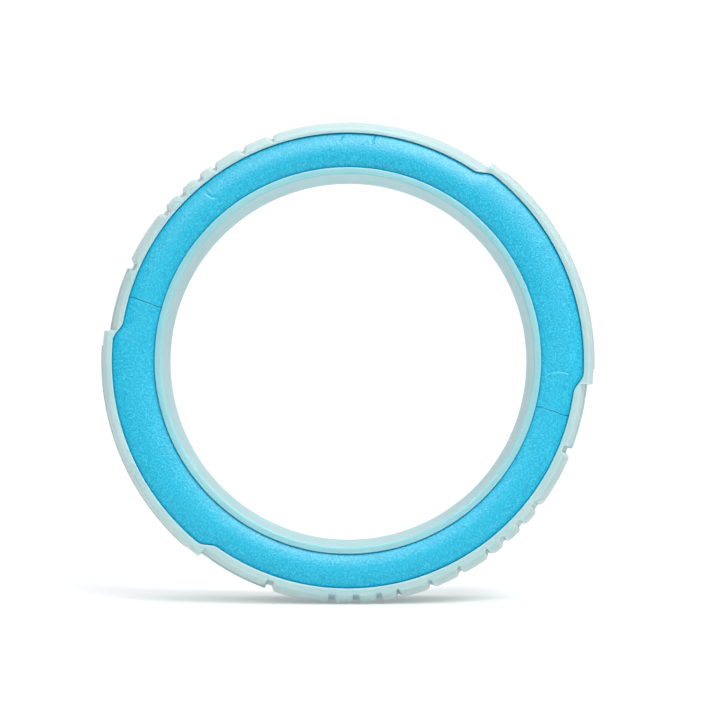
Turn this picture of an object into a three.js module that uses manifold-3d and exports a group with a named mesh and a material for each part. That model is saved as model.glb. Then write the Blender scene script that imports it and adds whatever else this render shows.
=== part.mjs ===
// Soft throwing and juggling ring: a rubber tread band and a rubber inner hoop with closed-cell
// foam between them. Units are millimetres. The ring's axis is Y, the front face looks along -Y
// and the ring stands upright with +Z up, on a small flat of its tread. The origin is the centre
// of the ring's box. The bore and the foam sit a little above the tread's centre, so the band is
// thinner over the top than at the bottom.
import * as THREE from 'three';
import { mergeVertices } from 'three/addons/utils/BufferGeometryUtils.js';
import Module from 'manifold-3d';

const wasm = await Module();
wasm.setup();

// Driving dimensions, in millimetres and degrees.
const DEPTH = 46;
const BORE_RADIUS = 66.1;
const HOOP_THICKNESS = 2.5;
const FOAM_RADIAL_WIDTH = 12.3;
const BAND_LIP = 2.1;
const BLOCK_HEIGHT = 1.6;
const TREAD_RISE = 3.3;
const PAD_LIFT = 2.85;
const PAD_CROWN_LIFT = 1.8;
const PAD_PANEL_HEIGHT = 0.4;
const CROWN_HALF_WIDTH = 10;
const WEB_THICKNESS = 2.4;
const FOAM_SETBACK = 1.0;
const GAP = 0.3;
const EYE_RISE = 0.75;
const PAD_RISE = 0.45;
const REST_CUT = 0.35;
const SEGMENTS = 96;

const HALF_DEPTH = DEPTH / 2;
const HOOP_OUTER = BORE_RADIUS + HOOP_THICKNESS;
const CAVITY_RADIUS = HOOP_OUTER + FOAM_RADIAL_WIDTH;
const LIP_RADIUS = CAVITY_RADIUS + BAND_LIP;
const CROWN_RADIUS = LIP_RADIUS + TREAD_RISE;
const BASE_RADIUS = CROWN_RADIUS - BLOCK_HEIGHT;
const PAD_CROWN_RADIUS = CROWN_RADIUS + PAD_CROWN_LIFT;
const LOWEST = CROWN_RADIUS * Math.cos(Math.PI / SEGMENTS);
const CENTRE_DROP = REST_CUT / 2;

// Two raised pads face each other, with a treaded recess between them on each side.
const PADS = [
  { start: -5.7, end: 54.1 },
  { start: 172.7, end: 232.7 },
];
const RECESSES = [
  { centre: 112.8, smoothSide: -1 },
  { centre: 294.2, smoothSide: 0 },
];
const PAD_RAMP = 2.4;
const PANEL_INSET = 3.7;
const PANEL_HALF_WIDTH = 15;

// Grooves across the tread, as angles from the recess centre, mirrored to both sides. The wall
// away from the centre is steep and the wall towards the centre is a ramp. A recess's smooth side
// keeps only the groove nearest the centre.
const GROOVES = [
  { angle: 4.0, floor: 0.4, ramp: 1.4 },
  { angle: 12.0, floor: 0.4, ramp: 1.3 },
  { angle: 16.7, floor: 1.0, ramp: 0.9 },
  { angle: 22.3, floor: 1.2, ramp: 0.9 },
  { angle: 28.1, floor: 1.4, ramp: 0.9 },
  { angle: 43.6, floor: 1.4, ramp: 1.0 },
];
const BLOCK_EDGE = 0.15;
const PLAIN_ZONE_END = 62;
const PLAIN_ZONE_DROP = 0.9;
const EDGE_RIB_Y = 11.2;
const EDGE_RIB_WIDTH = 1.2;
const EDGE_RIB_RADIUS = CROWN_RADIUS - 0.1;

// The foam is cut as two C-shaped halves, which meet on a line across the ring.
const FOAM_JOINTS = [164, 346];

const OUTSIDE = CROWN_RADIUS + 8;
const radians = THREE.MathUtils.degToRad;

function polar(radius, degrees) {
  const angle = radians(degrees);
  return new THREE.Vector2(radius * Math.cos(angle), radius * Math.sin(angle));
}

function toManifold(geometry) {
  const bare = geometry.clone();
  bare.deleteAttribute('normal');
  bare.deleteAttribute('uv');
  const merged = mergeVertices(bare, 1e-4);
  const vertProperties = new Float32Array(merged.attributes.position.array);
  const triVerts = new Uint32Array(merged.index.array);
  return new wasm.Manifold(new wasm.Mesh({ numProp: 3, vertProperties, triVerts }));
}

function toGeometry(solid) {
  const mesh = solid.getMesh();
  const geometry = new THREE.BufferGeometry();
  geometry.setAttribute('position', new THREE.BufferAttribute(mesh.vertProperties, 3));
  geometry.setIndex(new THREE.BufferAttribute(mesh.triVerts, 1));
  geometry.computeVertexNormals();
  return geometry;
}

// Joins of faces that lie in one plane can leave flakes of no thickness, which are dropped.
function mainBody(solid) {
  const bodies = solid.decompose();
  return bodies.reduce((best, body) => (body.volume() > best.volume() ? body : best));
}

// A flat outline in the ring's plane (x across, y of the outline upwards) made as deep as asked.
function prism(outline, yStart, yEnd) {
  const shape = new THREE.Shape(outline);
  const geometry = new THREE.ExtrudeGeometry(shape, { depth: yEnd - yStart, bevelEnabled: false });
  geometry.rotateX(Math.PI / 2);
  geometry.translate(0, yEnd, 0);
  return toManifold(geometry);
}

// A solid of revolution about the ring's axis. Half a segment of turn puts a facet, not an edge,
// at the lowest point, where the soft ring rests on the ground. Profiles run from the front face
// over the outside to the rear face.
function revolve(profile) {
  const points = profile.map(([radius, y]) => new THREE.Vector2(radius, y));
  const halfStep = Math.PI / SEGMENTS;
  return toManifold(new THREE.LatheGeometry(points, SEGMENTS, halfStep, 2 * Math.PI));
}

// A solid disc with a flat crown and rounded shoulders that run down to the lips.
function treadDisc(lipRadius, crownRadius) {
  const steps = 5;
  const front = [];
  for (let i = 0; i <= steps; i += 1) {
    const turn = (Math.PI / 2) * (i / steps);
    const radius = lipRadius + (crownRadius - lipRadius) * Math.sin(turn);
    const y = CROWN_HALF_WIDTH + (HALF_DEPTH - CROWN_HALF_WIDTH) * Math.cos(turn);
    front.push([radius, -y]);
  }
  const rear = front.map(([radius, y]) => [radius, -y]).reverse();
  return revolve([[0, -HALF_DEPTH], ...front, ...rear, [0, HALF_DEPTH]]);
}

// The floor under the blocks runs straight from each lip up to a lower crown.
function baseDisc() {
  return revolve([
    [0, -HALF_DEPTH],
    [LIP_RADIUS, -HALF_DEPTH],
    [BASE_RADIUS, -CROWN_HALF_WIDTH],
    [BASE_RADIUS, CROWN_HALF_WIDTH],
    [LIP_RADIUS, HALF_DEPTH],
    [0, HALF_DEPTH],
  ]);
}

function disc(radius, yStart, yEnd) {
  return revolve([[0, yStart], [radius, yStart], [radius, yEnd], [0, yEnd]]);
}

// A slice of the ring between two angles.
function sector(start, end) {
  const outline = [new THREE.Vector2(0, 0)];
  const steps = Math.max(1, Math.ceil((end - start) / 15));
  for (let i = 0; i <= steps; i += 1) {
    outline.push(polar(OUTSIDE, start + ((end - start) * i) / steps));
  }
  return prism(outline, -HALF_DEPTH - 1, HALF_DEPTH + 1);
}

// How far the cavity's wall stands out at an angle: 0 in a recess, 1 under a pad.
function padShare(degrees) {
  let share = 0;
  for (const { start, end } of PADS) {
    const middle = (start + end) / 2;
    const away = Math.abs(((degrees - middle + 540) % 360) - 180);
    const inside = (end - start) / 2 - away;
    share = Math.max(share, THREE.MathUtils.smoothstep(inside, -PAD_RAMP, PAD_RAMP));
  }
  return share;
}

function cavityRadius(degrees) {
  return CAVITY_RADIUS + PAD_LIFT * padShare(degrees);
}

function cavityAngles() {
  const step = 360 / SEGMENTS;
  const angles = [];
  for (let i = 0; i < SEGMENTS; i += 1) {
    angles.push((i + 0.5) * step);
  }
  for (const { start, end } of PADS) {
    for (const edge of [start, end]) {
      for (const share of [-1, -0.5, 0, 0.5, 1]) {
        angles.push((edge + share * PAD_RAMP + 360) % 360);
      }
    }
  }
  angles.sort((a, b) => a - b);
  return angles.filter((angle, i) => i === 0 || angle - angles[i - 1] > 0.3);
}

const CAVITY_ANGLES = cavityAngles();

function cavityOutline(clearance) {
  return CAVITY_ANGLES.map((angle) => polar(cavityRadius(angle) - clearance, angle));
}

function grooveCutter(centre, side, { angle, floor, ramp }) {
  const steep = centre + side * (angle + floor / 2);
  const foot = centre + side * (angle - floor / 2);
  const top = centre + side * (angle - floor / 2 - ramp);
  const spread = (OUTSIDE - BASE_RADIUS) / BLOCK_HEIGHT;
  const outline = [
    polar(LIP_RADIUS - 1, steep),
    polar(OUTSIDE, steep),
    polar(OUTSIDE, foot + (top - foot) * spread),
    polar(BASE_RADIUS, foot),
    polar(LIP_RADIUS - 1, foot),
  ];
  if (side > 0) {
    outline.reverse();
  }
  return prism(outline, -HALF_DEPTH - 1, HALF_DEPTH + 1);
}

// A thin rib that runs round one edge of the crown between two angles.
function edgeRib(start, end, y) {
  const halfWidth = EDGE_RIB_WIDTH / 2;
  return disc(EDGE_RIB_RADIUS, y - halfWidth, y + halfWidth).intersect(sector(start, end));
}

// Tread blocks of one recess, with a plain zone and two thin ribs next to each pad. The smooth side
// runs on at full height to its pad instead.
function addRecessTread(band, { centre, smoothSide }) {
  const last = GROOVES[GROOVES.length - 1];
  const reach = (side) => (side === smoothSide ? PLAIN_ZONE_END : last.angle);
  let blocks = treadDisc(LIP_RADIUS + BLOCK_EDGE, CROWN_RADIUS);
  blocks = blocks.intersect(sector(centre - reach(-1), centre + reach(1)));
  const grooved = [-1, 1].filter((side) => side !== smoothSide);
  for (const side of grooved) {
    for (const groove of GROOVES) {
      blocks = blocks.subtract(grooveCutter(centre, side, groove));
    }
  }
  if (smoothSide !== 0) {
    blocks = blocks.subtract(grooveCutter(centre, smoothSide, GROOVES[0]));
  }
  let result = band.add(blocks);
  const plain = treadDisc(LIP_RADIUS + BLOCK_EDGE, CROWN_RADIUS - PLAIN_ZONE_DROP);
  for (const side of grooved) {
    const near = centre + side * (last.angle + last.floor / 2);
    const far = centre + side * PLAIN_ZONE_END;
    const [start, end] = [Math.min(near, far), Math.max(near, far)];
    result = result.add(plain.intersect(sector(start, end)));
    for (const y of [-EDGE_RIB_Y, EDGE_RIB_Y]) {
      result = result.add(edgeRib(start, end, y));
    }
  }
  return result;
}

function addPad(band, { start, end }) {
  const pad = treadDisc(LIP_RADIUS + PAD_LIFT, PAD_CROWN_RADIUS);
  const panel = disc(PAD_CROWN_RADIUS + PAD_PANEL_HEIGHT, -PANEL_HALF_WIDTH, PANEL_HALF_WIDTH)
    .intersect(treadDisc(LIP_RADIUS + PAD_LIFT, PAD_CROWN_RADIUS + PAD_PANEL_HEIGHT))
    .intersect(sector(start + PANEL_INSET, end - PANEL_INSET));
  const raised = pad.intersect(sector(start, end)).add(panel);
  return band.add(raised.translate([0, 0, PAD_RISE]));
}

// What is cut off where the soft tread flattens against the ground.
function underGround() {
  const reach = CROWN_RADIUS / 4;
  const ground = REST_CUT - LOWEST;
  const outline = [
    new THREE.Vector2(-reach, -OUTSIDE),
    new THREE.Vector2(reach, -OUTSIDE),
    new THREE.Vector2(reach, ground),
    new THREE.Vector2(-reach, ground),
  ];
  return prism(outline, -HALF_DEPTH - 1, HALF_DEPTH + 1);
}

function treadBand() {
  let band = baseDisc();
  for (const recess of RECESSES) {
    band = addRecessTread(band, recess);
  }
  for (const pad of PADS) {
    band = addPad(band, pad);
  }
  const cavity = prism(cavityOutline(0), -HALF_DEPTH - 1, HALF_DEPTH + 1);
  return band.subtract(cavity.translate([0, 0, EYE_RISE])).subtract(underGround());
}

// The hoop lines the hole. A web round its middle reaches out between the foam layers.
function innerHoop() {
  const edge = 0.6;
  const hoop = revolve([
    [BORE_RADIUS, -HALF_DEPTH + edge],
    [BORE_RADIUS + edge, -HALF_DEPTH],
    [HOOP_OUTER, -HALF_DEPTH],
    [HOOP_OUTER, HALF_DEPTH],
    [BORE_RADIUS + edge, HALF_DEPTH],
    [BORE_RADIUS, HALF_DEPTH - edge],
    [BORE_RADIUS, -HALF_DEPTH + edge],
  ]);
  const web = prism(cavityOutline(GAP), -WEB_THICKNESS / 2, WEB_THICKNESS / 2);
  const middle = BORE_RADIUS + HOOP_THICKNESS / 2;
  return hoop.add(web.subtract(disc(middle, -HALF_DEPTH, HALF_DEPTH)));
}

// One foam layer, before it is cut into its two halves.
function foamLayer(yStart, yEnd) {
  const body = prism(cavityOutline(GAP), yStart, yEnd);
  return body.subtract(disc(HOOP_OUTER + GAP, yStart - 1, yEnd + 1));
}

// Half of the ring's plane, from one joint round to the other, with the joint gap taken off.
function jointHalf(start, end) {
  const trim = THREE.MathUtils.radToDeg(GAP / 2 / HOOP_OUTER);
  return sector(start + trim, end - trim);
}

const rubber = { color: 0xb4dcdf, roughness: 0.42, metalness: 0 };
const foam = { color: 0x3fb9e6, roughness: 0.85, metalness: 0 };

function addPiece(group, name, solid, finish, rise) {
  const geometry = toGeometry(mainBody(solid));
  const mesh = new THREE.Mesh(geometry, new THREE.MeshStandardMaterial(finish));
  mesh.name = name;
  mesh.position.z = rise - CENTRE_DROP;
  group.add(mesh);
}

const ring = new THREE.Group();
addPiece(ring, 'tread_band', treadBand(), rubber, 0);
addPiece(ring, 'inner_hoop', innerHoop(), rubber, EYE_RISE);

const outerFace = HALF_DEPTH - FOAM_SETBACK;
const innerFace = WEB_THICKNESS / 2 + GAP;
const layers = [
  { side: 'front', yStart: -outerFace, yEnd: -innerFace },
  { side: 'rear', yStart: innerFace, yEnd: outerFace },
];
const [leftJoint, rightJoint] = FOAM_JOINTS;
const halves = [
  { name: 'upper', start: rightJoint - 360, end: leftJoint },
  { name: 'lower', start: leftJoint, end: rightJoint },
];
for (const { side, yStart, yEnd } of layers) {
  for (const { name, start, end } of halves) {
    const half = foamLayer(yStart, yEnd).intersect(jointHalf(start, end));
    addPiece(ring, `${side}_foam_${name}`, half, foam, EYE_RISE);
  }
}

export default ring;
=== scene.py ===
import math

import bpy
import numpy as np
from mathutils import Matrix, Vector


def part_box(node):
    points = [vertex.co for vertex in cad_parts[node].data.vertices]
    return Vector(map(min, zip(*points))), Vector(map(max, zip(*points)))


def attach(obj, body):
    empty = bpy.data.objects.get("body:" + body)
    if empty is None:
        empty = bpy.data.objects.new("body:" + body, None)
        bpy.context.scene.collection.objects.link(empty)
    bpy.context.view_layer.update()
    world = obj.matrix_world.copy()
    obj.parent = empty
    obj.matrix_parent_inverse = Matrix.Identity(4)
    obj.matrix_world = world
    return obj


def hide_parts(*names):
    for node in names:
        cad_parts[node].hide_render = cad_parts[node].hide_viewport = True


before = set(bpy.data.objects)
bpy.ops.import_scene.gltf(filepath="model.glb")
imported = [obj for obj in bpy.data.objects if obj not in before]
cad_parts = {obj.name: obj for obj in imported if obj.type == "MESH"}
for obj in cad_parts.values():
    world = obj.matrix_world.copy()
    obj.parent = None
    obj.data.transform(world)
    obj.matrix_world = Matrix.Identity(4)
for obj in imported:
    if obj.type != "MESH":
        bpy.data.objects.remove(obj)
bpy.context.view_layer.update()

# ---------------------------------------------------------------------------------------------
# A soft throwing ring that stands on its tread: rubber outer band, rubber inner hoop, foam between.
# The ring's axis is Y, the front face looks along -Y. Lengths are metres, angles are degrees
# counted from +X towards +Z.
# ---------------------------------------------------------------------------------------------
MM = 0.001

band_low, band_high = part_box("tread_band")

HALF_DEPTH = band_high.y
PANEL_RADIUS = band_high.x
CROWN_RADIUS = PANEL_RADIUS - 2.2 * MM
BASE_RADIUS = CROWN_RADIUS - 1.6 * MM
LIP_RADIUS = CROWN_RADIUS - 3.3 * MM
CAVITY_RADIUS = LIP_RADIUS - 2.1 * MM
HOOP_OUTER = CAVITY_RADIUS - 12.3 * MM
BORE_RADIUS = HOOP_OUTER - 2.5 * MM
PAD_LIFT = 2.85 * MM
PAD_CROWN_LIFT = 1.8 * MM
PANEL_HEIGHT = 0.4 * MM
FLOOR_Z = band_low.z
# The bore's axis lies a little above the tread's, and the pads are shifted less.
EYE_RISE = 0.75 * MM
PAD_SHIFT = 0.30 * MM
EYE_Z = EYE_RISE - 0.175 * MM

CROWN_HALF_WIDTH = 10 * MM
SHOULDER_POWER = 2.3
PANEL_HALF_WIDTH = 15 * MM
PANEL_EDGE = 0.25 * MM
RIB_Y = 11.2 * MM
RIB_HALF_WIDTH = 0.6 * MM
RIB_EDGE = 0.2 * MM
RIB_SINK = 0.1 * MM
PLAIN_DROP = 0.9 * MM
LIP_INNER_FILLET, LIP_OUTER_FILLET = 0.3 * MM, 0.35 * MM
HOOP_FILLET, HOOP_EDGE = 0.7 * MM, 0.3 * MM
WEB_HALF = 1.2 * MM
WEB_CLEARANCE = 0.3 * MM
FOAM_CLEARANCE = 0.04 * MM
FOAM_FACE_EDGE = HALF_DEPTH - 1.2 * MM
FOAM_BULGE = 1.35 * MM
FOAM_RIM_DROP = 0.25 * MM

PADS = ((-5.7, 54.1), (172.7, 232.7))
PAD_RAMP = 2.4
PANEL_INSET = 3.7
RECESS_CENTRES = (112.8, 294.2)
# From its innermost groove on, the first recess runs smooth towards the pad on its right.
SMOOTH_FROM, SMOOTH_TO = 50.0, 106.0
FOAM_JOINTS = (164.0, 346.0)

# Grooves as (angle from the recess centre, floor width, ramp width, share of the full depth),
# alike on both sides.
GROOVES = (
    (4.0, 0.4, 1.4, 0.8),
    (12.0, 0.4, 1.3, 0.8),
    (16.7, 1.0, 0.9, 0.7),
    (22.3, 1.2, 0.9, 0.7),
    (28.1, 1.4, 0.9, 0.7),
    (43.6, 1.4, 1.0, 1.0),
)
GROOVE_REACH = 2.6
LAST_GROOVE_END = GROOVES[-1][0] + GROOVES[-1][1] / 2
# Share of the lip's width that a groove of full depth cuts into it.
LIP_CUT = 0.35
# Painted shade in the grooves, with more painted shadow in the grooves near the floor than in the others.
# Low is counted as -sin(angle).
GROOVE_SHADE, LOW_GROOVE_SHADE = 0.08, 0.75
LOW_FROM, LOW_TO = 0.955, 0.985


# ---------------------------------------------------------------------------------------------
# Small helpers
# ---------------------------------------------------------------------------------------------
def smooth(x, low, high):
    """0 below low, 1 above high, with a smooth rise between them."""
    t = np.clip((x - low) / (high - low), 0.0, 1.0)
    return t * t * (3 - 2 * t)


def turn_from(angle, centre):
    """The signed turn from centre to angle, between -180 and 180 degrees."""
    return (angle - centre + 180.0) % 360.0 - 180.0


def inside_pad(angle):
    """Degrees inside the nearest pad's end, negative outside every pad."""
    depth = np.full_like(angle, -360.0)
    for start, end in PADS:
        middle, half = (start + end) / 2, (end - start) / 2
        depth = np.maximum(depth, half - np.abs(turn_from(angle, middle)))
    return depth


def cavity_radius(angle):
    """The band's inner wall, which steps out under each pad along an S-curve."""
    return CAVITY_RADIUS + PAD_LIFT * smooth(inside_pad(angle), -PAD_RAMP, PAD_RAMP)


def dense_angles(step, spots):
    """Angles round the whole ring, step apart, with extra ones near each (centre, reach, step)."""
    angles = [np.arange(0.0, 360.0, step)]
    for centre, reach, fine in spots:
        angles.append(np.arange(centre - reach, centre + reach + fine / 2, fine))
    every = np.sort(np.concatenate(angles) % 360.0)
    keep = [every[0]]
    for angle in every[1:]:
        if angle - keep[-1] > 0.035:
            keep.append(angle)
    return np.array(keep)


def to_points(angle, radius, y):
    """Points from ring coordinates about the bore: angle (n), radius (n, m) and y (n, m)."""
    a = np.radians(angle)[:, None]
    return np.stack([radius * np.cos(a), y + 0 * radius, radius * np.sin(a) + EYE_Z], axis=-1)


def tread_shift(angle):
    """How far the tread's surface stands in or out because it is centred below the bore."""
    size = EYE_RISE + (PAD_SHIFT - EYE_RISE) * pad_step(angle)
    return -size * np.sin(np.radians(angle))


def grid_faces(rows, columns, wrap_rows):
    """Quads of a tube made of closed loops: rows of loops, each with columns points."""
    last = rows if wrap_rows else rows - 1
    i, j = np.meshgrid(np.arange(last), np.arange(columns), indexing="ij")
    ahead, beside = (i + 1) % rows, (j + 1) % columns
    corners = [i * columns + j, i * columns + beside, ahead * columns + beside, ahead * columns + j]
    return np.stack(corners, axis=-1).reshape(-1, 4).tolist()


def paint_shade_and_foam_light(piece, amount):
    """Store how much painted shade or painted foam light each point of a piece takes, from 0 to 1."""
    layer = piece.data.attributes.new("painted_shade_and_foam_light", "FLOAT", "POINT")
    layer.data.foreach_set("value", np.asarray(amount, dtype=float).ravel())


def make_piece(name, points, closed, material):
    """A smooth-shaded piece from loops of points. An open row of loops gets a cap at each end."""
    rows, columns = points.shape[:2]
    faces = grid_faces(rows, columns, closed)
    if not closed:
        faces.append(list(range(columns))[::-1])
        faces.append([(rows - 1) * columns + j for j in range(columns)])
    mesh = bpy.data.meshes.new(name)
    mesh.from_pydata(points.reshape(-1, 3).tolist(), [], faces)
    mesh.validate()
    mesh.polygons.foreach_set("use_smooth", [True] * len(mesh.polygons))
    mesh.materials.append(material)
    mesh.update()
    piece = bpy.data.objects.new(name, mesh)
    bpy.context.scene.collection.objects.link(piece)
    return piece


# ---------------------------------------------------------------------------------------------
# Materials
# ---------------------------------------------------------------------------------------------
def new_material(name):
    material = bpy.data.materials.new(name)
    material.use_nodes = True
    tree = material.node_tree
    return material, tree, tree.nodes["Principled BSDF"]


def noise_node(tree, scale, detail, roughness=0.5):
    coordinates = tree.nodes.new("ShaderNodeTexCoord")
    node = tree.nodes.new("ShaderNodeTexNoise")
    node.inputs["Scale"].default_value = scale
    node.inputs["Detail"].default_value = detail
    node.inputs["Roughness"].default_value = roughness
    tree.links.new(coordinates.outputs["Object"], node.inputs["Vector"])
    return node


def ramp_node(tree, source, stops):
    """A colour ramp over source, with stops as (position, (r, g, b))."""
    node = tree.nodes.new("ShaderNodeValToRGB")
    elements = node.color_ramp.elements
    while len(elements) < len(stops):
        elements.new(0.5)
    for element, (position, colour) in zip(elements, stops):
        element.position = position
        element.color = (*colour, 1.0)
    tree.links.new(source, node.inputs["Fac"])
    return node


def range_node(tree, source, low, high):
    node = tree.nodes.new("ShaderNodeMapRange")
    node.inputs["To Min"].default_value = low
    node.inputs["To Max"].default_value = high
    tree.links.new(source, node.inputs["Value"])
    return node


def bump_node(tree, height, strength, distance, below=None):
    node = tree.nodes.new("ShaderNodeBump")
    node.inputs["Strength"].default_value = strength
    node.inputs["Distance"].default_value = distance
    tree.links.new(height, node.inputs["Height"])
    if below is not None:
        tree.links.new(below.outputs["Normal"], node.inputs["Normal"])
    return node


# Painted light and shade: rubber takes on this colour against the foam as painted blue light from the foam,
# and in the grooves as painted shade.
SHADE_AND_FOAM_LIGHT_COLOUR = (0.01, 0.44, 0.56)


def rubber_material(name, light, deep):
    """Milky translucent rubber with a fine moulded skin, bluer where painted shade and painted blue foam
    light are marked on the mesh.
    """
    material, tree, shader = new_material(name)
    cloud = noise_node(tree, 45.0, 3.0)
    clear = ramp_node(tree, cloud.outputs["Fac"], [(0.3, deep), (0.7, light)])
    # The mesh attribute read here holds painted shade and painted blue foam light.
    painted_shade_and_foam_light = tree.nodes.new("ShaderNodeAttribute")
    painted_shade_and_foam_light.attribute_name = "painted_shade_and_foam_light"
    colour = tree.nodes.new("ShaderNodeMix")
    colour.data_type = "RGBA"
    tree.links.new(painted_shade_and_foam_light.outputs["Fac"], colour.inputs["Factor"])
    tree.links.new(clear.outputs["Color"], colour.inputs["A"])
    colour.inputs["B"].default_value = (*SHADE_AND_FOAM_LIGHT_COLOUR, 1.0)
    skin = noise_node(tree, 900.0, 4.0, 0.6)
    flow = noise_node(tree, 120.0, 2.0)
    roughness = range_node(tree, flow.outputs["Fac"], 0.30, 0.42)
    wide = bump_node(tree, flow.outputs["Fac"], 0.25, 0.15 * MM)
    fine = bump_node(tree, skin.outputs["Fac"], 0.35, 0.05 * MM, below=wide)
    tree.links.new(colour.outputs["Result"], shader.inputs["Base Color"])
    tree.links.new(roughness.outputs["Result"], shader.inputs["Roughness"])
    tree.links.new(fine.outputs["Normal"], shader.inputs["Normal"])
    shader.inputs["IOR"].default_value = 1.45
    shader.inputs["Subsurface Weight"].default_value = 1.0
    shader.inputs["Subsurface Radius"].default_value = (0.8, 1.0, 1.0)
    shader.inputs["Subsurface Scale"].default_value = 2.8 * MM
    return material


def foam_material():
    """Fine closed-cell foam: speckled cells under a slightly glossy skin."""
    material, tree, shader = new_material("foam_blue")
    cells = noise_node(tree, 1600.0, 2.0, 0.6)
    colour = ramp_node(
        tree,
        cells.outputs["Fac"],
        [(0.32, (0.000, 0.34, 0.53)), (0.50, (0.000, 0.43, 0.64)), (0.68, (0.035, 0.55, 0.76))],
    )
    mottle = noise_node(tree, 160.0, 2.0)
    roughness = range_node(tree, mottle.outputs["Fac"], 0.30, 0.38)
    broad = bump_node(tree, mottle.outputs["Fac"], 0.14, 0.2 * MM)
    grain = bump_node(tree, cells.outputs["Fac"], 0.6, 0.25 * MM, below=broad)
    tree.links.new(colour.outputs["Color"], shader.inputs["Base Color"])
    tree.links.new(roughness.outputs["Result"], shader.inputs["Roughness"])
    tree.links.new(grain.outputs["Normal"], shader.inputs["Normal"])
    shader.inputs["Specular IOR Level"].default_value = 0.75
    return material


def floor_material():
    """A pale, matt, faintly glowing table top, as under a lit studio backdrop."""
    material, tree, shader = new_material("pale_floor")
    cloud = noise_node(tree, 6.0, 2.0)
    stops = [(0.3, (0.75, 0.75, 0.75)), (0.7, (0.77, 0.77, 0.77))]
    colour = ramp_node(tree, cloud.outputs["Fac"], stops)
    tree.links.new(colour.outputs["Color"], shader.inputs["Base Color"])
    shader.inputs["Roughness"].default_value = 0.9
    shader.inputs["Specular IOR Level"].default_value = 0.2
    shader.inputs["Emission Color"].default_value = (1.0, 1.0, 1.0, 1.0)
    shader.inputs["Emission Strength"].default_value = 0.23
    return material


# ---------------------------------------------------------------------------------------------
# Tread band
# ---------------------------------------------------------------------------------------------
def block_height(angle):
    """1 on a tread block, 0 on a groove's floor, with a steep wall and a ramp at each groove."""
    height = np.ones_like(angle)
    for centre in RECESS_CENTRES:
        for side in (-1, 1):
            away = turn_from(angle, centre) * side
            for middle, floor, ramp, share in GROOVES:
                steep, foot = middle + floor / 2, middle - floor / 2
                wall = 0.6 * smooth(away, steep - 0.02, steep + 0.2)
                wall = wall + 0.4 * smooth(away, steep, steep + 1.1)
                climb = np.clip((foot - away) / ramp, 0.0, 1.0)
                climb = np.sin(climb * math.pi / 2) ** 1.1
                near = np.abs(away - middle) < GROOVE_REACH
                dip = share * (1 - np.maximum(wall, climb))
                height = np.where(near, np.minimum(height, 1 - dip), height)
    return np.where((angle > SMOOTH_FROM) & (angle < SMOOTH_TO), 1.0, height)


def plain_share(angle):
    """1 in the plain zones between the last grooves and the pads, 0 elsewhere."""
    share = np.zeros_like(angle)
    for centre in RECESS_CENTRES:
        away = np.abs(turn_from(angle, centre))
        share = np.maximum(share, smooth(away, LAST_GROOVE_END - 0.1, LAST_GROOVE_END + 0.05) * (away < 70))
    return np.where((angle > SMOOTH_FROM) & (angle < SMOOTH_TO), 0.0, share)


def shoulder(along, power):
    """How far a shoulder has risen: along is 0 at the lip and 1 at the crown's edge."""
    return 1 - (1 - np.clip(along, 0.0, 1.0)) ** power


def tread_stations():
    """Places across the tread from the front lip's edge to the rear one, as y."""
    rib = [RIB_Y + k * 0.3 * MM for k in (-3, -2, -1.2, 0, 1.2, 2, 3)]
    panel = [PANEL_HALF_WIDTH + k * 0.15 * MM for k in (-2, -1, 0, 1, 2)]
    depths = (0.3, 0.6, 1.0, 1.5, 2.2, 3.1, 4.2, 5.4, 6.5, 9.6, 10.3)
    sides = [HALF_DEPTH - depth * MM for depth in depths]
    crown = [CROWN_HALF_WIDTH * k / 5 for k in range(6)]
    half = sorted(set(rib + panel + sides + crown))
    return np.array([-y for y in reversed(half)] + half[1:])


def tread_radius(angle, y):
    """The tread's outer surface at each angle (n) and y (m)."""
    along = ((HALF_DEPTH - np.abs(y)) / (HALF_DEPTH - CROWN_HALF_WIDTH))[None, :]
    rise = shoulder(along, SHOULDER_POWER)
    edge = lip_edge(angle)[:, None]
    base = edge + (BASE_RADIUS - edge) * smooth(along, 0.25, 1.0)
    crown = CROWN_RADIUS - PLAIN_DROP * plain_share(angle)[:, None]
    block = LIP_RADIUS + (crown - LIP_RADIUS) * rise
    height = block_height(angle)[:, None]
    recess = base + (block - base) * height
    from_rib = np.abs(np.abs(y) - RIB_Y)
    ridge = 1 - smooth(from_rib, RIB_HALF_WIDTH - RIB_EDGE, RIB_HALF_WIDTH + RIB_EDGE)
    top = CROWN_RADIUS - RIB_SINK
    ribbed = recess + np.maximum(top - recess, 0) * ridge[None, :]
    recess = recess + (ribbed - recess) * plain_share(angle)[:, None]
    pad_lip = LIP_RADIUS + PAD_LIFT
    pad = pad_lip + (CROWN_RADIUS + PAD_CROWN_LIFT - pad_lip) * rise
    panel = smooth(inside_pad(angle), PANEL_INSET - 0.1, PANEL_INSET + 0.15)[:, None]
    inside = 1 - smooth(np.abs(y), PANEL_HALF_WIDTH - PANEL_EDGE, PANEL_HALF_WIDTH + PANEL_EDGE)
    pad = pad + PANEL_HEIGHT * panel * inside[None, :]
    step = pad_step(angle)[:, None]
    return recess + (pad - recess) * step + tread_shift(angle)[:, None]


def lip_edge(angle):
    """The lip's outer radius, lower where a groove runs into it, before the tread's shift."""
    width = LIP_RADIUS + tread_shift(angle) - CAVITY_RADIUS
    groove = (1 - block_height(angle)) * (1 - pad_step(angle))
    return LIP_RADIUS - LIP_CUT * width * groove


def pad_step(angle):
    """The sharp step at a pad's end, with a small rounding at its top."""
    depth = inside_pad(angle)
    return 0.9 * smooth(depth, -0.06, 0.14) + 0.1 * smooth(depth, 0.0, 0.6)


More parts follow.
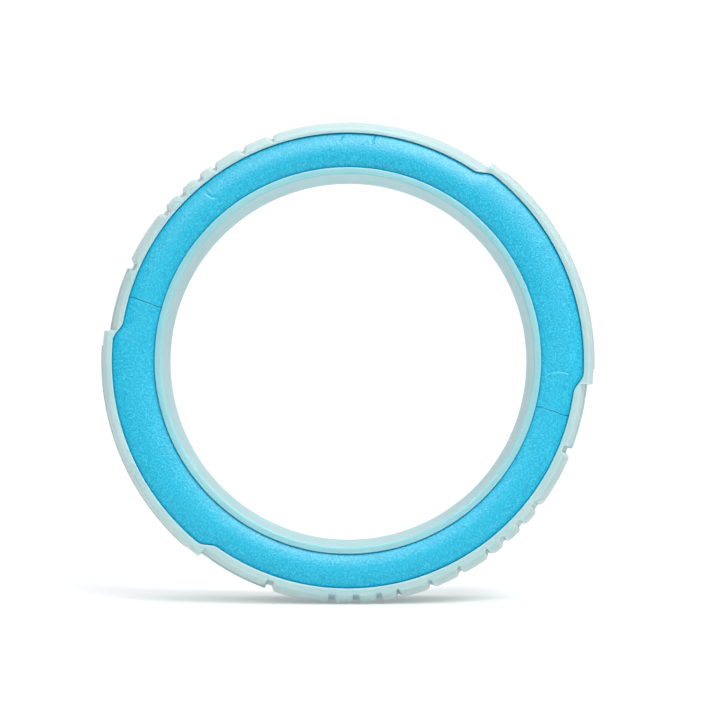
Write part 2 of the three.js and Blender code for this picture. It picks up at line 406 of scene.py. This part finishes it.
def lip_loop(angle, inner, outer, inner_fillet, outer_fillet):
    """Radius and y of the front lip, from the cavity wall over the flat face to the outer edge."""
    radius, y = [], []
    for turn in np.radians(np.linspace(0, 90, 5)):
        radius.append(inner + inner_fillet * (1 - math.cos(turn)))
        y.append(-HALF_DEPTH + inner_fillet * (1 - math.sin(turn)))
    for share in (0.25, 0.5, 0.75):
        radius.append(inner + inner_fillet + (outer - outer_fillet - inner - inner_fillet) * share)
        y.append(-HALF_DEPTH)
    for turn in np.radians(np.linspace(0, 60, 5)):
        radius.append(outer - outer_fillet * (1 - math.sin(turn)))
        y.append(-HALF_DEPTH + outer_fillet * (1 - math.cos(turn)))
    ones = np.ones_like(angle)
    return np.stack(radius, axis=1), np.stack([v * ones for v in y], axis=1)


def rest_on_floor(points):
    """The soft tread flattens where it bears on the floor."""
    points[..., 2] = np.maximum(points[..., 2], FLOOR_Z)
    return points


def tread_angles():
    """Angles round the band, closer together at the grooves, the pads' ends and the panels."""
    spots = []
    for centre in RECESS_CENTRES:
        for side in (-1, 1):
            for middle, floor, ramp, _ in GROOVES:
                spots.append((centre + side * (middle + floor / 2 + 0.1), 0.25, 0.05))
                spots.append((centre + side * (middle - floor / 2 - ramp / 2), ramp / 2 + 0.1, 0.15))
    for start, end in PADS:
        for edge, inward in ((start, 1), (end, -1)):
            spots.append((edge + inward * 0.05, 0.25, 0.05))
            spots.append((edge, PAD_RAMP, 0.3))
            spots.append((edge + inward * PANEL_INSET, 0.25, 0.06))
    return dense_angles(0.8, spots)


def tread_band(material):
    """The band: both lips, the tread between them and the cavity wall, as one closed skin."""
    angle = tread_angles()
    inner = cavity_radius(angle)
    outer = lip_edge(angle) + PAD_LIFT * pad_step(angle) + tread_shift(angle)
    lip_r, lip_y = lip_loop(angle, inner, outer, LIP_INNER_FILLET, LIP_OUTER_FILLET)
    y = tread_stations()
    y = y[np.abs(y) < HALF_DEPTH - 0.2 * MM]
    outside = tread_radius(angle, y)
    wall_y = np.array([0.6, 0.2, -0.2, -0.6]) * HALF_DEPTH
    wall = np.repeat(inner[:, None], len(wall_y), axis=1)
    radius = np.concatenate([lip_r, outside, lip_r[:, ::-1], wall], axis=1)
    ones = np.ones_like(angle)[:, None]
    across = np.concatenate([lip_y, ones * y, -lip_y[:, ::-1], ones * wall_y], axis=1)
    points = rest_on_floor(to_points(angle, radius, across))
    piece = make_piece("tread_band_rubber", points, True, material)
    # Painted shade: the groove pockets turn dark teal, much more near the floor where the contact shadow
    # falls.
    groove = (1 - block_height(angle))[:, None] * (1 - pad_step(angle))[:, None]
    pocket = smooth(np.abs(y), CROWN_HALF_WIDTH - 2 * MM, CROWN_HALF_WIDTH + 2 * MM)[None, :]
    painted_shade_and_foam_light = np.zeros_like(radius)
    first, last = lip_r.shape[1], lip_r.shape[1] + len(y)
    low = smooth(-np.sin(np.radians(angle)), LOW_FROM, LOW_TO)[:, None]
    amount = GROOVE_SHADE + (LOW_GROOVE_SHADE - GROOVE_SHADE) * low
    painted_shade_and_foam_light[:, first:last] = amount * groove * pocket
    # Painted blue foam light on the lip's inner edge and the cavity wall against the foam.
    painted_shade_and_foam_light[:, 0] = 1.0
    painted_shade_and_foam_light[:, last + first - 1 :] = 1.0
    paint_shade_and_foam_light(piece, painted_shade_and_foam_light)
    return piece


# ---------------------------------------------------------------------------------------------
# Inner hoop
# ---------------------------------------------------------------------------------------------
def inner_hoop(material):
    """The hoop's section, from the middle of the bore round the front lip to the web and back."""
    angle = np.arange(0.0, 360.0, 0.75)
    fillet, edge = HOOP_FILLET, HOOP_EDGE
    half = [(BORE_RADIUS, -HALF_DEPTH * k) for k in (0.0, 0.3, 0.6, 0.85)]
    for turn in np.radians(np.linspace(0, 90, 7)):
        x = BORE_RADIUS + fillet * (1 - math.cos(turn))
        half.append((x, -HALF_DEPTH + fillet * (1 - math.sin(turn))))
    half.append((HOOP_OUTER - (HOOP_OUTER - BORE_RADIUS) * 0.4, -HALF_DEPTH))
    for turn in np.radians(np.linspace(0, 90, 5)):
        x = HOOP_OUTER - edge * (1 - math.sin(turn))
        half.append((x, -HALF_DEPTH + edge * (1 - math.cos(turn))))
    half += [(HOOP_OUTER, -HALF_DEPTH * k) for k in (0.7, 0.4)]
    half += [(HOOP_OUTER, -WEB_HALF - 0.5 * MM), (HOOP_OUTER + 0.4 * MM, -WEB_HALF)]
    radius = [np.full_like(angle, r) for r, _ in half]
    y = [v for _, v in half]
    rim = cavity_radius(angle) - WEB_CLEARANCE
    for v in (-WEB_HALF, 0.0, WEB_HALF):
        radius.append(rim)
        y.append(v)
    for r, v in reversed(half[1:]):
        radius.append(np.full_like(angle, r))
        y.append(-v)
    across = np.ones_like(angle)[:, None] * np.array(y)
    radius = np.stack(radius, axis=1)
    points = to_points(angle, radius, across)
    piece = make_piece("inner_hoop_rubber", points[:, ::-1], True, material)
    # Painted blue foam light on the hoop's outer wall against the foam.
    painted_shade_and_foam_light = (radius > HOOP_OUTER - 0.05 * MM) & (np.abs(across) < HALF_DEPTH - 0.2 * MM)
    paint_shade_and_foam_light(piece, painted_shade_and_foam_light[:, ::-1])
    return piece


# ---------------------------------------------------------------------------------------------
# Foam halves
# ---------------------------------------------------------------------------------------------
# Short creases in the foam's face: angle and share across at each end, depth and half width.
CREASES = (
    ((95.2, 0.42), (91.0, 0.88), 0.50, 0.32),
    ((82.9, 0.98), (83.3, 0.70), 0.28, 0.28),
    ((86.4, 0.58), (84.6, 0.76), 0.20, 0.28),
    ((128.9, 0.45), (130.4, 0.75), 0.30, 0.35),
    ((246.5, 0.45), (249.5, 0.32), 0.24, 0.30),
    ((356.0, 0.15), (356.6, 0.75), 0.20, 0.30),
)


def joint_wave(share):
    """The cut between two foam halves wanders a little, in degrees."""
    return 0.22 * np.sin(share * 5.2 + 0.6) + 0.08 * np.sin(share * 13.0)


def crease_depth(angle, share, inner, outer):
    """How deep the creases press into the face at each point."""
    depth = np.zeros(np.broadcast(angle, share).shape)
    width = outer - inner
    for (a0, s0), (a1, s1), deep, half in CREASES:
        x = np.radians(turn_from(angle, a0)) * (inner + width * share)
        z = (share - s0) * width
        dx = math.radians(a1 - a0) * (HOOP_OUTER + CAVITY_RADIUS) / 2
        dz = (s1 - s0) * (CAVITY_RADIUS - HOOP_OUTER)
        along = np.clip((x * dx + z * dz) / (dx * dx + dz * dz), 0.0, 1.0)
        bow = 0.12 * np.sin(along * math.pi) * math.hypot(dx, dz)
        away = np.hypot(x - along * dx - bow, z - along * dz)
        fade = smooth(along, -0.2, 0.25) * (1 - smooth(along, 0.75, 1.2))
        depth += deep * MM * fade * np.exp(-((away / (half * MM)) ** 2))
    return depth


def foam_half(name, material, start, end, rear):
    """One C-shaped foam half with a crowned face, seen from the front or the rear."""
    spots = [((a[0] + b[0]) / 2, abs(a[0] - b[0]) / 2 + 0.8, 0.15) for a, b, _, _ in CREASES]
    span = dense_angles(0.4, spots)
    span = start + np.sort((span - start) % 360.0)
    span = span[(span > start + 0.35) & (span < end - 0.35)]
    ends = np.array([0.04, 0.06, 0.12, 0.22])
    angle = np.concatenate([start + ends, span, (end - ends)[::-1]])
    inset = np.zeros_like(angle)
    rounding = np.array([0.30, 0.12, 0.04, 0.0]) * MM
    inset[:4], inset[-4:] = rounding, rounding[::-1]

    inner = np.full_like(angle, HOOP_OUTER + FOAM_CLEARANCE)[:, None] + inset[:, None]
    outer = (cavity_radius(angle) - FOAM_CLEARANCE)[:, None] - inset[:, None]
    back = WEB_HALF + FOAM_CLEARANCE
    share = (1 - np.cos(np.linspace(0, math.pi, 46))) / 2
    share = 0.5 * share + 0.5 * np.linspace(0, 1, 46)
    across = (2 * share - 1)[None, :]
    dome = FOAM_FACE_EDGE + FOAM_BULGE * (1 - np.abs(across) ** 2.0) - inset[:, None]
    dome = dome - FOAM_RIM_DROP * np.abs(across) ** 24
    face_r = inner + (outer - inner) * share[None, :]
    dome = dome - crease_depth(angle[:, None], share[None, :], inner, outer)

    side = np.linspace(0, 1, 6)[1:-1]
    outer_wall_y = dome[:, -1:] + (back - dome[:, -1:]) * side
    inner_wall_y = back + (dome[:, :1] - back) * side
    back_share = np.linspace(1, 0, 8)
    back_r = inner + (outer - inner) * back_share
    back_y = back + inset[:, None] + 0 * back_r
    outer_wall_r, inner_wall_r = outer + 0 * outer_wall_y, inner + 0 * inner_wall_y
    radius = np.concatenate([face_r, outer_wall_r, back_r, inner_wall_r], axis=1)
    depth = np.concatenate([dome, outer_wall_y, back_y, inner_wall_y], axis=1)
    section_share = (radius - inner) / (outer - inner)
    bend = joint_wave(section_share)
    near_start = 1 - smooth(angle, start, start + 3)
    near_end = smooth(angle, end - 3, end)
    turned = angle[:, None] + bend * (near_start + near_end)[:, None]
    a = np.radians(turned)
    y = depth if rear else -depth
    points = np.stack([radius * np.cos(a), y, radius * np.sin(a) + EYE_Z], axis=-1)
    if not rear:
        points = points[:, ::-1]
    return make_piece(name, points, False, material)


# ---------------------------------------------------------------------------------------------
# Camera, light and floor
# ---------------------------------------------------------------------------------------------
CAMERA_DISTANCE = 0.950
CAMERA_LENS = 134.0
CAMERA_PLACE = (0.0043, -HALF_DEPTH - CAMERA_DISTANCE, -0.0105 + EYE_Z)
CAMERA_TILT = 0.64
FLOOR_REACH, FLOOR_SIDES = 0.55, 96
# Softboxes as (name, place, size, power).
SOFTBOXES = (
    ("roof_box", (0.0, -0.05, 1.5), (1.2, 0.8), 7.5),
    ("right_box", (0.50, -1.00, 1.20), (0.9, 0.6), 15.0),
    ("front_box", (0.10, -1.50, 0.85), (2.0, 0.4), 15.0),
)


def make_camera():
    data = bpy.data.cameras.new("camera")
    data.lens = CAMERA_LENS
    data.sensor_width = 36.0
    data.clip_end = 50.0
    camera = bpy.data.objects.new("camera", data)
    camera.location = CAMERA_PLACE
    camera.rotation_euler = (math.radians(90 + CAMERA_TILT), 0.0, 0.0)
    bpy.context.scene.collection.objects.link(camera)
    bpy.context.scene.camera = camera


def make_softbox(name, place, size, power):
    """A white rectangular lamp that faces the ring's centre."""
    data = bpy.data.lights.new(name, "AREA")
    data.shape = "RECTANGLE"
    data.size, data.size_y = size
    data.energy = power
    lamp = bpy.data.objects.new(name, data)
    lamp.location = place
    lamp.rotation_euler = (-lamp.location).to_track_quat("-Z", "Y").to_euler()
    bpy.context.scene.collection.objects.link(lamp)


def make_world(shown, front, back):
    """A white surround. Where it lights the ring it is dim in front and bright behind."""
    world = bpy.data.worlds.new("studio")
    world.use_nodes = True
    tree = world.node_tree
    tree.nodes.clear()
    output = tree.nodes.new("ShaderNodeOutputWorld")
    path = tree.nodes.new("ShaderNodeLightPath")
    mix = tree.nodes.new("ShaderNodeMixShader")
    seen = tree.nodes.new("ShaderNodeBackground")
    seen.inputs["Strength"].default_value = shown
    seen.inputs["Color"].default_value = (1.0, 1.0, 1.0, 1.0)
    light = tree.nodes.new("ShaderNodeBackground")
    light.inputs["Color"].default_value = (1.0, 1.0, 1.0, 1.0)
    direction = tree.nodes.new("ShaderNodeTexCoord")
    split = tree.nodes.new("ShaderNodeSeparateXYZ")
    tree.links.new(direction.outputs["Generated"], split.inputs["Vector"])
    strength = range_node(tree, split.outputs["Y"], front, back)
    strength.inputs["From Min"].default_value = -0.4
    strength.inputs["From Max"].default_value = 0.6
    tree.links.new(strength.outputs["Result"], light.inputs["Strength"])
    tree.links.new(path.outputs["Is Camera Ray"], mix.inputs["Fac"])
    tree.links.new(light.outputs["Background"], mix.inputs[1])
    tree.links.new(seen.outputs["Background"], mix.inputs[2])
    tree.links.new(mix.outputs["Shader"], output.inputs["Surface"])
    bpy.context.scene.world = world


def make_floor(material):
    """A round table top, whose far edge is lost in the white surround."""
    turns = [2 * math.pi * k / FLOOR_SIDES for k in range(FLOOR_SIDES)]
    mesh = bpy.data.meshes.new("floor")
    rim = [(FLOOR_REACH * math.cos(a), FLOOR_REACH * math.sin(a), FLOOR_Z) for a in turns]
    mesh.from_pydata(rim, [], [tuple(range(FLOOR_SIDES))])
    mesh.materials.append(material)
    floor = bpy.data.objects.new("floor", mesh)
    bpy.context.scene.collection.objects.link(floor)
    floor.visible_glossy = False


# ---------------------------------------------------------------------------------------------
# The scene
# ---------------------------------------------------------------------------------------------
make_camera()
make_world(shown=1.05, front=0.12, back=1.0)
for softbox in SOFTBOXES:
    make_softbox(*softbox)
make_floor(floor_material())
bpy.context.scene.view_settings.view_transform = "Standard"

band_rubber = rubber_material("tread_rubber", (0.46, 0.60, 0.60), (0.40, 0.56, 0.57))
hoop_rubber = rubber_material("hoop_rubber", (0.32, 0.57, 0.60), (0.28, 0.54, 0.58))
foam = foam_material()

band = tread_band(band_rubber)
hoop = inner_hoop(hoop_rubber)
PIECES = [(band, "tread_band", "tread_rubber"), (hoop, "inner_hoop", "hoop_rubber")]

left, right = FOAM_JOINTS
HALVES = (("upper", right - 360.0, left), ("lower", left, right))
for layer, rear in (("front", False), ("rear", True)):
    for half, start, end in HALVES:
        node = f"{layer}_foam_{half}"
        piece = foam_half(f"{node}_soft", foam, start, end, rear)
        PIECES.append((piece, node, "foam"))

for piece, node, slot in PIECES:
    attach(piece, "root")
    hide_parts(node)
